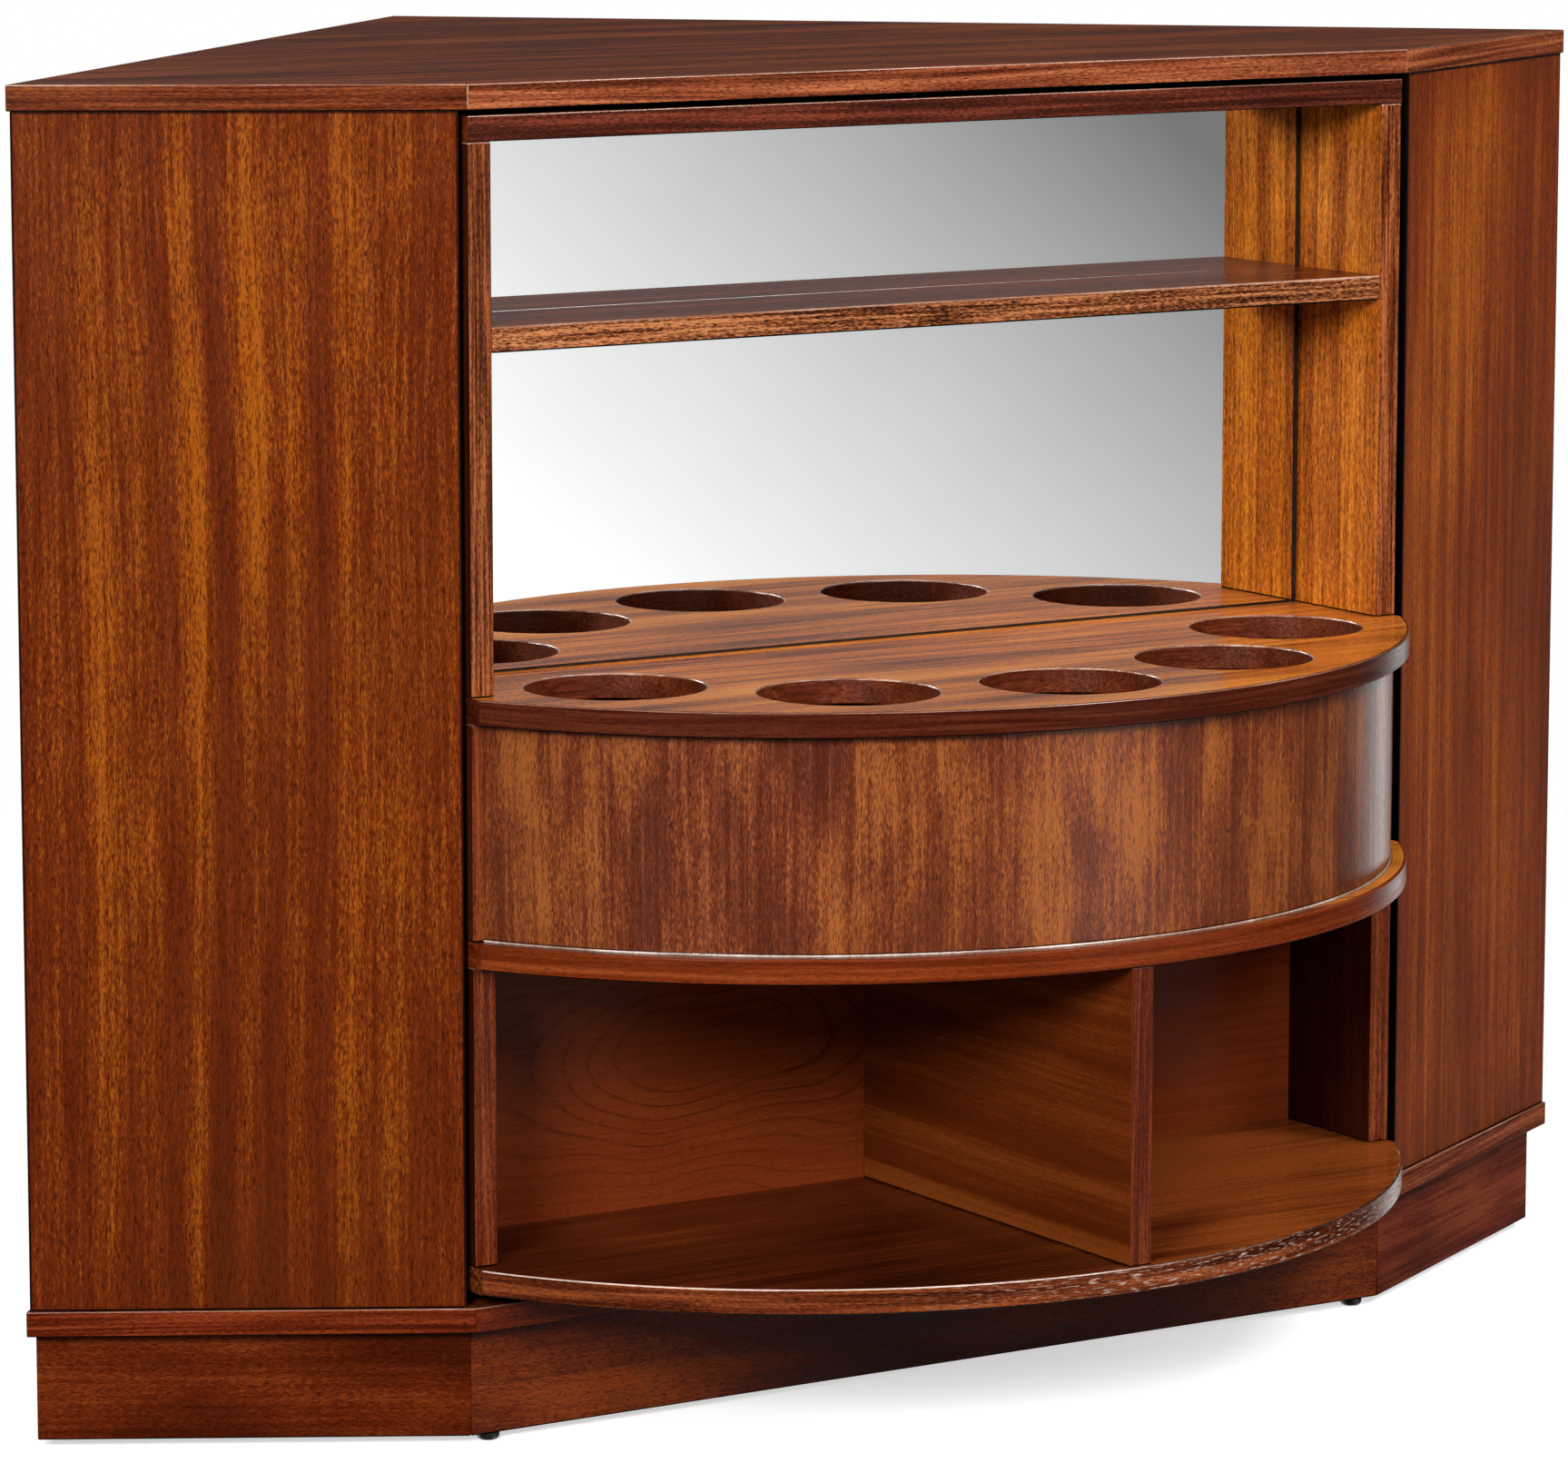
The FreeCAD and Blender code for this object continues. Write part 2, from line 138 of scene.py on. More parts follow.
class Nodes:
    """Node tree with short calls for the nodes used here."""

    def __init__(self, tree):
        self.tree = tree

    def add(self, kind):
        return self.tree.nodes.new(kind)

    def link(self, source, target):
        self.tree.links.new(source, target)

    def attribute(self, name):
        node = self.add("ShaderNodeAttribute")
        node.attribute_name = name
        return node.outputs["Vector"]

    def place(self):
        return self.add("ShaderNodeTexCoord").outputs["Object"]

    def stretched(self, vector, scale):
        node = self.add("ShaderNodeMapping")
        node.inputs["Scale"].default_value = scale
        self.link(vector, node.inputs["Vector"])
        return node.outputs[0]

    def noise(self, vector, scale, detail=2.0, low=0.3, high=0.7):
        node = self.add("ShaderNodeTexNoise")
        node.inputs["Scale"].default_value = 1.0
        node.inputs["Detail"].default_value = detail
        self.link(self.stretched(vector, scale), node.inputs["Vector"])
        return self.span(node.outputs["Fac"], low, high, 0.0, 1.0)

    def span(self, value, low, high, to_low, to_high):
        node = self.add("ShaderNodeMapRange")
        node.inputs["From Min"].default_value = low
        node.inputs["From Max"].default_value = high
        node.inputs["To Min"].default_value = to_low
        node.inputs["To Max"].default_value = to_high
        self.link(value, node.inputs["Value"])
        return node.outputs["Result"]

    def math(self, operation, *values):
        node = self.add("ShaderNodeMath")
        node.operation = operation
        for socket, value in zip(node.inputs, values):
            if isinstance(value, (int, float)):
                socket.default_value = value
            else:
                self.link(value, socket)
        return node.outputs[0]

    def vector_math(self, operation, *values):
        node = self.add("ShaderNodeVectorMath")
        node.operation = operation
        for socket, value in zip(node.inputs, values):
            self.link(value, socket)
        return node.outputs[0]

    def parts(self, vector):
        node = self.add("ShaderNodeSeparateXYZ")
        self.link(vector, node.inputs[0])
        return node.outputs

    def shifted(self, vector, value, amount):
        """The vector with its first part moved by a share of value."""
        node = self.add("ShaderNodeCombineXYZ")
        self.link(self.math("MULTIPLY", self.math("SUBTRACT", value, 0.5), amount), node.inputs[0])
        return self.vector_math("ADD", vector, node.outputs[0])

    def ramp(self, value, stops):
        node = self.add("ShaderNodeValToRGB")
        elements = node.color_ramp.elements
        while len(elements) < len(stops):
            elements.new(0.5)
        for element, (position, colour) in zip(elements, stops):
            element.position = position
            element.color = (*colour, 1)
        self.link(value, node.inputs[0])
        return node.outputs["Color"]

    def mixed(self, factor, first, second):
        node = self.add("ShaderNodeMix")
        node.data_type = "RGBA"
        self.link(factor, node.inputs["Factor"])
        for socket, value in ((node.inputs[6], first), (node.inputs[7], second)):
            if isinstance(value, tuple):
                socket.default_value = (*value, 1)
            else:
                self.link(value, socket)
        return node.outputs[2]

    def length(self, vector):
        node = self.add("ShaderNodeVectorMath")
        node.operation = "LENGTH"
        self.link(vector, node.inputs[0])
        return node.outputs["Value"]

    def blended(self, factor, first, second):
        node = self.add("ShaderNodeMixShader")
        for socket, source in zip(node.inputs, (factor, first, second)):
            self.link(source, socket)
        return node.outputs[0]


class Tree(Nodes):
    """Node tree of one material, with its surface shader and its output."""

    def __init__(self, name):
        self.material = bpy.data.materials.new(name)
        self.material.use_nodes = True
        super().__init__(self.material.node_tree)
        self.tree.nodes.clear()
        self.surface = self.add("ShaderNodeBsdfPrincipled")
        self.output = self.add("ShaderNodeOutputMaterial")
        self.link(self.surface.outputs[0], self.output.inputs[0])

    def bumped(self, height, strength, distance):
        node = self.add("ShaderNodeBump")
        node.inputs["Strength"].default_value = strength
        node.inputs["Distance"].default_value = distance
        self.link(height, node.inputs["Height"])
        self.link(node.outputs[0], self.surface.inputs["Normal"])


def shade(colour, factor):
    return tuple(part * factor for part in colour)


def ribbon_bands(tree, grain, ribbon, wave):
    """Bands along the grain, from noise and a share of waves."""
    bands = tree.noise(grain, (ribbon, ribbon, 1.0), detail=1, low=0.36, high=0.64)
    if not wave:
        return bands
    ripple = tree.add("ShaderNodeTexWave")
    ripple.inputs["Scale"].default_value = 0.314 * ribbon
    ripple.inputs["Distortion"].default_value = 4.0
    ripple.inputs["Detail"].default_value = 1.0
    tree.link(tree.stretched(grain, (1, 1, 0.07)), ripple.inputs["Vector"])
    return tree.math("MULTIPLY_ADD", ripple.outputs["Fac"], wave, tree.math("MULTIPLY", bands, 1 - wave))


def growth_lines(tree, strength):
    """Fine lines in uneven ovals round one place of the back panel, weaker away from it."""
    oval = tree.add("ShaderNodeMapping")
    oval.inputs["Location"].default_value = (-FIGURE_X * FIGURE_ACROSS, 0, -FIGURE_Z * FIGURE_UP)
    oval.inputs["Scale"].default_value = (FIGURE_ACROSS, 0, FIGURE_UP)
    tree.link(tree.place(), oval.inputs["Vector"])
    distance = tree.length(oval.outputs[0])
    rise = tree.noise(tree.place(), (7, 1, 9), detail=1, low=0.0, high=1.0)
    rings = tree.math("MULTIPLY_ADD", rise, 5.0, tree.math("MULTIPLY", distance, 2.2))
    lines = tree.span(tree.math("FRACT", rings), 0.0, 0.25, strength, 0.0)
    near = tree.span(distance, 2.2, 6.0, 1.0, 0.15)
    near = tree.math("MULTIPLY", near, tree.span(distance, 0.6, 1.4, 0.0, 1.0))
    return tree.math("MULTIPLY", lines, near)


def wood(name, dark, middle, light, ribbon=28, ribbon_share=0.4, streak=260, streak_share=0.2,
         fibre_share=0.2, blotch=8, blotch_share=0.2, blotch_stretch=0.4, blotch_detail=3, wave=0.0,
         calm=0.0, burnish=0.0, seam_shade=0.0, pores=0.4, lean=None, drift=0.0, flecks=0.0, glint_specks=0.0,
         figure=0.0, roughness=0.26, specular=0.08, coat=0.0):
    """Lacquered wood whose grain runs along the third part of the grain attribute, in metres.

    Ribbons, streaks, fibres and blotches each add their share to the tone. Calm quiets the ribbons near
    the two long edges, burnish darkens all edges or lightens them where it is negative, and a seam shade
    is painted shade, a dark line round them where shadow falls at the joints. Lean is an axis of the
    cabinet, two places along it and the shift of the tone at each. Drift, flecks, specks and figure add a
    tint, wear partly painted as glints, painted glints and growth lines.
    """
    tree = Tree(name)
    straight = tree.attribute("grain")
    middle_place = tree.attribute("middle")
    away = tree.parts(tree.vector_math("SUBTRACT", tree.attribute("reach"),
                                       tree.vector_math("ABSOLUTE", middle_place)))
    edge = tree.math("MINIMUM", away[0], away[1])
    grain = tree.shifted(straight, tree.noise(straight, (4, 4, 1.8), detail=1), 0.011)
    bands = ribbon_bands(tree, grain, ribbon, wave)
    fade = tree.noise(straight, (6, 6, 2.2), detail=1, low=0.35, high=0.65)
    bands = tree.math("MULTIPLY", tree.math("SUBTRACT", bands, 0.5), tree.span(fade, 0, 1, 0.45, 1.25))
    if calm:
        bands = tree.math("MULTIPLY", bands, tree.span(away[0], 0.02, calm, 0.2, 1.15))
    streaks = tree.noise(grain, (streak, streak, 7), detail=3)
    fibres = tree.noise(grain, (1150, 1150, 260), detail=2)
    blotches = tree.noise(straight, (blotch, blotch, blotch * blotch_stretch), detail=blotch_detail)
    start = 0.5 - (streak_share + fibre_share + blotch_share) / 2
    tone = tree.math("MULTIPLY_ADD", bands, ribbon_share, start)
    tone = tree.math("MULTIPLY_ADD", streaks, streak_share, tone)
    tone = tree.math("MULTIPLY_ADD", fibres, fibre_share, tone)
    tone = tree.math("MULTIPLY_ADD", blotches, blotch_share, tone)
    if burnish:
        swayed = tree.math("MULTIPLY_ADD", fade, -0.02, edge)
        tone = tree.math("SUBTRACT", tone, tree.span(swayed, -0.01, 0.05, burnish, 0.0))
    if lean:
        axis, *stretch = lean
        tone = tree.math("ADD", tone, tree.span(tree.parts(tree.place())[axis], *stretch))
    colour = tree.ramp(tone, [(0.12, dark), (0.5, middle), (0.88, light)])
    if drift:
        cloud = tree.noise(straight, (7, 7, 2.6), detail=2)
        colour = tree.mixed(tree.math("MULTIPLY", cloud, drift), colour,
                            (0.9 * middle[0], 1.25 * middle[1], 1.4 * middle[2]))
    pore = tree.noise(grain, (1000, 1000, 190), detail=1, low=0.55, high=0.7)
    colour = tree.mixed(tree.math("MULTIPLY", pore, pores), colour, shade(dark, 0.4))
    if figure:
        lines = tree.math("MULTIPLY", growth_lines(tree, figure), streaks)
        colour = tree.mixed(lines, colour, shade(dark, 0.3))
    # Painted shade: a dark line within the seam width of every edge, where shadow falls at the joints
    if seam_shade:
        colour = tree.mixed(tree.span(edge, 0.6 * seam_shade, seam_shade, 0.9, 0.0), colour, shade(dark, 0.12))
    if flecks:
        # Light flecks right of the middle: lacquer worn through, and painted glints where the light catches
        # it
        side = tree.span(tree.parts(tree.place())[0], -0.2, 0.0, 0.0, 1.0)
        chips_and_glints = tree.noise(straight, (900, 900, 90), detail=4, low=0.57, high=0.63)
        wear_and_glints = tree.math("MULTIPLY", tree.math("MULTIPLY", side, chips_and_glints), flecks)
        colour = tree.mixed(wear_and_glints, colour, (0.50, 0.34, 0.26))
    if glint_specks:
        # Painted glints: light specks on the lacquer
        dust_and_glints = tree.noise(straight, (620, 620, 260), detail=1, low=0.68, high=0.73)
        colour = tree.mixed(tree.math("MULTIPLY", dust_and_glints, glint_specks), colour, (0.42, 0.26, 0.18))
    tree.link(colour, tree.surface.inputs["Base Color"])
    tree.link(tree.span(streaks, 0, 1, roughness - 0.05, roughness + 0.09), tree.surface.inputs["Roughness"])
    tree.surface.inputs["Specular IOR Level"].default_value = specular
    tree.surface.inputs["Coat Weight"].default_value = coat
    tree.surface.inputs["Coat Roughness"].default_value = 0.12
    tree.bumped(tree.math("SUBTRACT", tree.math("MULTIPLY", fibres, 0.5), pore), 0.15, 0.0003)
    return tree.material


def band(name, dark, middle, light, streak_share, pores):
    """Wood of an edge band, with narrow streaks along it."""
    return wood(name, dark, middle, light, ribbon=150, ribbon_share=0.3, streak=420,
                streak_share=streak_share, fibre_share=0.4, pores=pores)


def stile(name, dark, middle, light, ribbon_share, streak_share, pores):
    """Wood of the front edge of the unit's sides, with fine upright streaks."""
    return wood(name, dark, middle, light, ribbon=190, ribbon_share=ribbon_share, streak=420,
                streak_share=streak_share, fibre_share=0.4, pores=pores)


def raw_wood(name, dark, light, across):
    """Bare wood, with growth rings across and specks."""
    tree = Tree(name)
    place = tree.place()
    rings = tree.noise(place, across, detail=3, low=0.25, high=0.75)
    speck = tree.noise(place, (420, 420, 420), detail=1, low=0.45, high=0.75)
    colour = tree.ramp(rings, [(0.1, dark), (0.9, light)])
    colour = tree.mixed(tree.math("MULTIPLY", speck, 0.3), colour, dark)
    tree.link(colour, tree.surface.inputs["Base Color"])
    tree.link(tree.span(rings, 0, 1, 0.68, 0.82), tree.surface.inputs["Roughness"])
    tree.surface.inputs["Specular IOR Level"].default_value = 0.12
    tree.bumped(rings, 0.3, 0.0004)
    return tree.material


def metal(name, colour, roughness):
    """Brushed metal with a little wear."""
    tree = Tree(name)
    place = tree.place()
    brushed = tree.noise(place, (900, 900, 60), detail=2)
    wear_and_glints = tree.noise(place, (55, 55, 55), detail=3)
    tree.link(tree.mixed(tree.math("MULTIPLY", wear_and_glints, 0.3), colour, shade(colour, 0.7)),
              tree.surface.inputs["Base Color"])
    tree.surface.inputs["Metallic"].default_value = 1.0
    tree.link(tree.span(brushed, 0, 1, roughness * 0.8, roughness * 1.3), tree.surface.inputs["Roughness"])
    tree.bumped(brushed, 0.05, 0.0002)
    return tree.material


def plastic(name, dark, light, roughness):
    """Moulded plastic with a fine grain and some dust."""
    tree = Tree(name)
    place = tree.place()
    grain = tree.noise(place, (1600, 1600, 1600), detail=2)
    dust_and_glints = tree.noise(place, (90, 90, 90), detail=3, low=0.45, high=0.8)
    tree.link(tree.mixed(dust_and_glints, dark, light), tree.surface.inputs["Base Color"])
    tree.link(tree.span(grain, 0, 1, roughness - 0.06, roughness + 0.1), tree.surface.inputs["Roughness"])
    tree.bumped(grain, 0.12, 0.0002)
    return tree.material


def silvered(name):
    """Silver behind glass, with a faint film."""
    tree = Tree(name)
    film = tree.noise(tree.place(), (5, 5, 7), detail=3)
    tree.link(tree.mixed(film, (0.91, 0.92, 0.92), (0.94, 0.95, 0.945)), tree.surface.inputs["Base Color"])
    tree.surface.inputs["Metallic"].default_value = 1.0
    tree.link(tree.span(film, 0, 1, 0.004, 0.014), tree.surface.inputs["Roughness"])
    return tree.material


wing_wood = wood("wing_wood", (0.066, 0.0085, 0.0014), (0.136, 0.0186, 0.0019), (0.34, 0.084, 0.0038),
                 ribbon=29, ribbon_share=0.75, streak_share=0.35, fibre_share=0.5, wave=0.5, calm=0.13,
                 blotch_share=0.25, burnish=0.14, drift=0.4, pores=0.7, seam_shade=0.0022)
# Right wing's veneer, a lighter copy of the left wing's with its own figure: painted light, and darker
# towards the bottom
lit_far_wing_wood = wood("lit_far_wing_wood", (0.110, 0.0150, 0.0022), (0.250, 0.0400, 0.0040),
                     (0.52, 0.136, 0.0090), ribbon=62, ribbon_share=0.32, streak_share=0.3,
                     fibre_share=0.55, wave=0.2, blotch=6, blotch_share=0.5, burnish=0.2,
                     lean=(2, 0.25, 0.75, -0.07, 0.02), drift=0.25, pores=0.75, seam_shade=0.0022)
gold_wood = wood("gold_wood", (0.11, 0.019, 0.0022), (0.43, 0.106, 0.0074), (0.82, 0.275, 0.019), ribbon=85,
                 ribbon_share=0.18, streak_share=0.32, fibre_share=0.5, blotch_share=0.35, pores=0.65,
                 lean=(2, 0.55, 0.9, -0.08, 0.04))
top_wood = wood("top_wood", (0.048, 0.0072, 0.0018), (0.140, 0.0232, 0.0042), (0.30, 0.069, 0.0130),
                ribbon=14, ribbon_share=0.35, streak=160, streak_share=0.6, fibre_share=0.4, burnish=-0.2,
                roughness=0.22)
band_wood = band("band_wood", (0.060, 0.0100, 0.0031), (0.215, 0.0475, 0.0165), (0.44, 0.136, 0.052),
                 streak_share=0.6, pores=0.75)
# Side bands as copies of band_wood: darker on the left as painted shade, lighter on the right as painted
# light
shaded_left_band_wood = band("shaded_left_band_wood", (0.037, 0.0056, 0.0014), (0.118, 0.0200, 0.0046),
                      (0.26, 0.064, 0.0150), streak_share=0.55, pores=0.7)
lit_right_band_wood = band("lit_right_band_wood", (0.080, 0.0140, 0.0042), (0.260, 0.0560, 0.0175),
                       (0.52, 0.155, 0.055), streak_share=0.6, pores=0.75)
rack_band_wood = wood("rack_band_wood", (0.026, 0.0036, 0.0010), (0.054, 0.0080, 0.0026),
                      (0.115, 0.0240, 0.0085), ribbon=120, ribbon_share=0.25, streak=300, streak_share=0.5)
divider_band_wood = wood("divider_band_wood", (0.050, 0.0066, 0.0018), (0.100, 0.0140, 0.0040),
                         (0.20, 0.040, 0.012), ribbon=120, ribbon_share=0.4, streak=420, streak_share=0.8,
                         fibre_share=0.4, pores=0.6)
base_band_wood = band("base_band_wood", (0.040, 0.0046, 0.0009), (0.112, 0.0125, 0.0026),
                      (0.24, 0.040, 0.0085), streak_share=0.55, pores=0.7)
# Lighter copy of base_band_wood for the right band: painted light
lit_right_base_wood = band("lit_right_base_wood", (0.060, 0.0100, 0.0032), (0.190, 0.0340, 0.0100),
                       (0.42, 0.110, 0.036), streak_share=0.6, pores=0.75)
bow_band_wood = wood("bow_band_wood", (0.070, 0.0090, 0.0016), (0.155, 0.0225, 0.0034),
                     (0.28, 0.056, 0.0105), ribbon=120, ribbon_share=0.25, streak=300, streak_share=0.4)
# Lower shelf's lipping, with light flecks that are partly worn lacquer and partly painted glints
worn_glint_band_wood = wood("worn_glint_band_wood", (0.040, 0.0064, 0.0018), (0.138, 0.0260, 0.0066),
                      (0.30, 0.074, 0.0190), ribbon=120, ribbon_share=0.35, streak=300, streak_share=0.8,
                      fibre_share=0.5, flecks=0.9)
rail_wood = wood("rail_wood", (0.022, 0.0040, 0.0020), (0.072, 0.0125, 0.0058), (0.19, 0.040, 0.0175),
                 ribbon=70, streak=300, streak_share=0.6, fibre_share=0.5, pores=0.6)
stile_wood = stile("stile_wood", (0.040, 0.0072, 0.0018), (0.168, 0.0370, 0.0086), (0.40, 0.112, 0.034),
                   ribbon_share=0.3, streak_share=0.8, pores=0.75)
dim_stile_wood = stile("dim_stile_wood", (0.026, 0.0052, 0.0016), (0.122, 0.0275, 0.0078),
                       (0.34, 0.100, 0.032), ribbon_share=0.3, streak_share=0.8, pores=0.75)
low_stile_wood = stile("low_stile_wood", (0.052, 0.0072, 0.0018), (0.130, 0.0205, 0.0050),
                       (0.27, 0.062, 0.016), ribbon_share=0.25, streak_share=0.5, pores=0.7)
shelf_band_wood = wood("shelf_band_wood", (0.022, 0.0045, 0.0013), (0.180, 0.0480, 0.0145),
                       (0.48, 0.180, 0.070), ribbon=150, ribbon_share=0.35, streak=420, streak_share=0.85,
                       fibre_share=0.75, pores=0.9)
rack_wood = wood("rack_wood", (0.150, 0.0260, 0.0038), (0.520, 0.1330, 0.0150), (0.84, 0.290, 0.042),
                 ribbon=30, ribbon_share=0.4, streak_share=0.45, blotch_share=0.4, fibre_share=0.3,
                 burnish=-0.1, glint_specks=0.3, specular=0.15, roughness=0.16)
well_wood = wood("well_wood", (0.070, 0.0090, 0.0016), (0.180, 0.0290, 0.0042), (0.80, 0.260, 0.036),
                 ribbon=30, ribbon_share=0.3, streak_share=0.35, lean=(0, 0.05, 0.38, -0.15, 0.4),
                 specular=0.15, roughness=0.16)
hole_wood = wood("hole_wood", (0.050, 0.0080, 0.0022), (0.100, 0.0165, 0.0046), (0.19, 0.040, 0.0120),
                 ribbon=60, ribbon_share=0.3, streak=500, streak_share=0.6, fibre_share=0.3, pores=0.2,
                 specular=0.25, roughness=0.32)
apron_wood = wood("apron_wood", (0.080, 0.0130, 0.0042), (0.158, 0.0310, 0.0086), (0.33, 0.091, 0.0160),
                  ribbon=26, ribbon_share=0.2, blotch=30, blotch_share=0.65, blotch_stretch=0.27,
                  blotch_detail=2, streak_share=0.4, fibre_share=0.6, lean=(0, -0.35, 0.35, 0.03, -0.02),
                  drift=0.25, pores=0.6, seam_shade=0.0026, specular=0.4, roughness=0.24)
back_wood = wood("back_wood", (0.115, 0.0170, 0.0036), (0.180, 0.0295, 0.0060), (0.25, 0.051, 0.0088),
                 ribbon=14, ribbon_share=0.15, fibre_share=0.25, figure=1.0)
band_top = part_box("compartment_divider")[0].z + DIVIDER_BAND
divider_wood = wood("divider_wood", (0.080, 0.0120, 0.0020), (0.132, 0.0225, 0.0034), (0.25, 0.056, 0.0080),
                    ribbon=32, ribbon_share=0.4, streak_share=0.25,
                    lean=(2, band_top, band_top + DIVIDER_BAND_FADE, 0.2, 0.0))
# Lower shelf's top, darker left of the middle and much lighter right of it: painted shade and painted light
shelf_wood = wood("shelf_wood", (0.016, 0.0022, 0.0012), (0.096, 0.0154, 0.0036), (0.30, 0.068, 0.0110),
                  ribbon=40, ribbon_share=0.25, streak_share=0.3, blotch_share=0.5,
                  lean=(0, -0.04, 0.16, -0.22, 0.42), specular=0.15, roughness=0.16)
ledge_wood = wood("ledge_wood", (0.045, 0.0066, 0.0016), (0.110, 0.0180, 0.0038), (0.24, 0.052, 0.0090),
                  ribbon=40, ribbon_share=0.35, streak_share=0.35, specular=0.04, roughness=0.2)
# Dark wood where the light hardly reaches: the unit's outer sides in the gaps, the compartments' sides and
# faces out of sight, painted shade
shade_dark_wood = wood("shade_dark_wood", (0.020, 0.0030, 0.0012), (0.040, 0.0064, 0.0024), (0.080, 0.0170, 0.0050),
                   ribbon=32, ribbon_share=0.4, streak_share=0.25)
plinth_wood = wood("plinth_wood", (0.045, 0.0052, 0.0008), (0.100, 0.0126, 0.0017), (0.22, 0.040, 0.0055),
                   ribbon=45, ribbon_share=0.25, streak_share=0.25, fibre_share=0.45, blotch=13,
                   blotch_share=0.6, pores=0.65)
# Lighter copy of plinth_wood for the right plinth: painted light
lit_right_plinth_wood = wood("lit_right_plinth_wood", (0.045, 0.0050, 0.0016), (0.125, 0.0150, 0.0040),
                         (0.27, 0.048, 0.011), ribbon=45, ribbon_share=0.3, streak_share=0.35,
                         fibre_share=0.45, blotch=13, blotch_share=0.7, pores=0.65)
# Light colour of the upper arrises and the holes' upper rims: painted highlight, with some wear
highlight_wear_edge_wood = wood("highlight_wear_edge_wood", (0.14, 0.050, 0.026), (0.30, 0.130, 0.075), (0.62, 0.40, 0.29), ribbon=40,
                 blotch=26, blotch_share=0.5, streak_share=0.3, roughness=0.24, specular=0.4, coat=0.6)
# Near white line along the apron's foot: painted highlight
highlight_line_wood = wood("highlight_line_wood", (0.26, 0.15, 0.10), (0.46, 0.32, 0.25), (0.80, 0.68, 0.60),
                          ribbon=30, blotch=14, blotch_share=0.5, pores=0.2, specular=0.5, coat=1.0)
# Upper arris of the lower shelf's lipping, light at the left and dark to the right: painted highlight that
# fades
fading_highlight_wood = wood("fading_highlight_wood", (0.016, 0.0060, 0.0035), (0.23, 0.13, 0.095),
                        (0.74, 0.58, 0.48), ribbon=30, blotch=14, blotch_share=0.4,
                        lean=(0, -0.35, 0.35, 0.5, -0.6), specular=0.4, coat=0.6)
# Near black where only shade falls: lower and rear arrises, the lippings' lower arrises and the wings' inner
# ends, all painted shade
shade_black_wood = wood("shade_black_wood", (0.0022, 0.0016, 0.0014), (0.0040, 0.0028, 0.0025),
                    (0.0070, 0.0050, 0.0043), specular=0.03, roughness=0.6)
plywood = raw_wood("plywood", (0.36, 0.18, 0.075), (0.56, 0.33, 0.15), (3, 3, 60))
softwood = raw_wood("softwood", (0.42, 0.27, 0.13), (0.60, 0.44, 0.25), (60, 60, 4))
beech = raw_wood("beech", (0.48, 0.33, 0.19), (0.66, 0.49, 0.31), (220, 220, 40))
zinc = metal("zinc", (0.55, 0.56, 0.57), 0.32)
bright = metal("bright", (0.74, 0.74, 0.75), 0.12)
black_plastic = plastic("black_plastic", (0.009, 0.008, 0.008), (0.026, 0.022, 0.020), 0.34)
white_plastic = plastic("white_plastic", (0.62, 0.61, 0.57), (0.74, 0.73, 0.69), 0.42)
mirror_silver = silvered("mirror_silver")
mirror_edge = plastic("mirror_edge", (0.006, 0.007, 0.007), (0.016, 0.017, 0.017), 0.22)


# Pieces

made = 0


def finish_piece(bm, node, materials, chooser, coordinates, smooth):
    """Piece that stands for a CAD node, with its grain and its place between its edges in metres."""
    global made
    made += 1
    bmesh.ops.recalc_face_normals(bm, faces=bm.faces)
    bm.normal_update()
    for face in bm.faces:
        face.smooth = smooth
        face.material_index = chooser(face) if chooser else 0
    mesh = bpy.data.meshes.new(node + "_dressed")
    bm.to_mesh(mesh)
    bm.free()
    offset = Vector([step * made for step in GRAIN_STEP])
    points = [Vector(coordinates(vertex.co)) for vertex in mesh.vertices]
    across = [point.x for point in points]
    along = [point.z for point in points]
    centre = Vector(((min(across) + max(across)) / 2, (min(along) + max(along)) / 2, 0))
    reach = Vector((max(across), max(along), 0)) - centre
    for name, values in (("grain", [point + offset for point in points]),
                         ("middle", [Vector((point.x, point.z, 0)) - centre for point in points]),
                         ("reach", [reach] * len(points))):
        flat = [part for value in values for part in value]
        mesh.attributes.new(name, "FLOAT_VECTOR", "POINT").data.foreach_set("vector", flat)
    for material in materials:
        mesh.materials.append(material)
    piece = bpy.data.objects.new(node + "_dressed", mesh)
    bpy.context.scene.collection.objects.link(piece)
    if smooth:
        mesh.set_sharp_from_angle(angle=SHARP_ANGLE)
        weighted = piece.modifiers.new("even_normals", "WEIGHTED_NORMAL")
        weighted.keep_sharp = True
        weighted.weight = 90
    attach(piece, frame["nodes"][node]["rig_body"])
    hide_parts(node)
    return piece


def flat_grain(along, across):
    """Grain of a flat board, as a function from a point to its places across, through and along."""
    depth = along.cross(across)
    return lambda point: (point.dot(across), point.dot(depth), point.dot(along))


def rounded(bm, edges, radius, segments):
    bmesh.ops.bevel(bm, geom=edges, offset=radius, segments=segments, profile=0.5, affect="EDGES",
                    clamp_overlap=True)


def ease_edges(bm, ease, hidden):
    """Round the arrises, apart from those of a face that looks in the hidden direction."""
    sharp = []
    for edge in bm.edges:
        if len(edge.link_faces) == 2 and edge.calc_face_angle() > ARRIS_ANGLE:
            if not any(face.normal.dot(hidden) > LOOKS_SQUARELY for face in edge.link_faces):
                sharp.append(edge)
    rounded(bm, sharp, ease, 3)


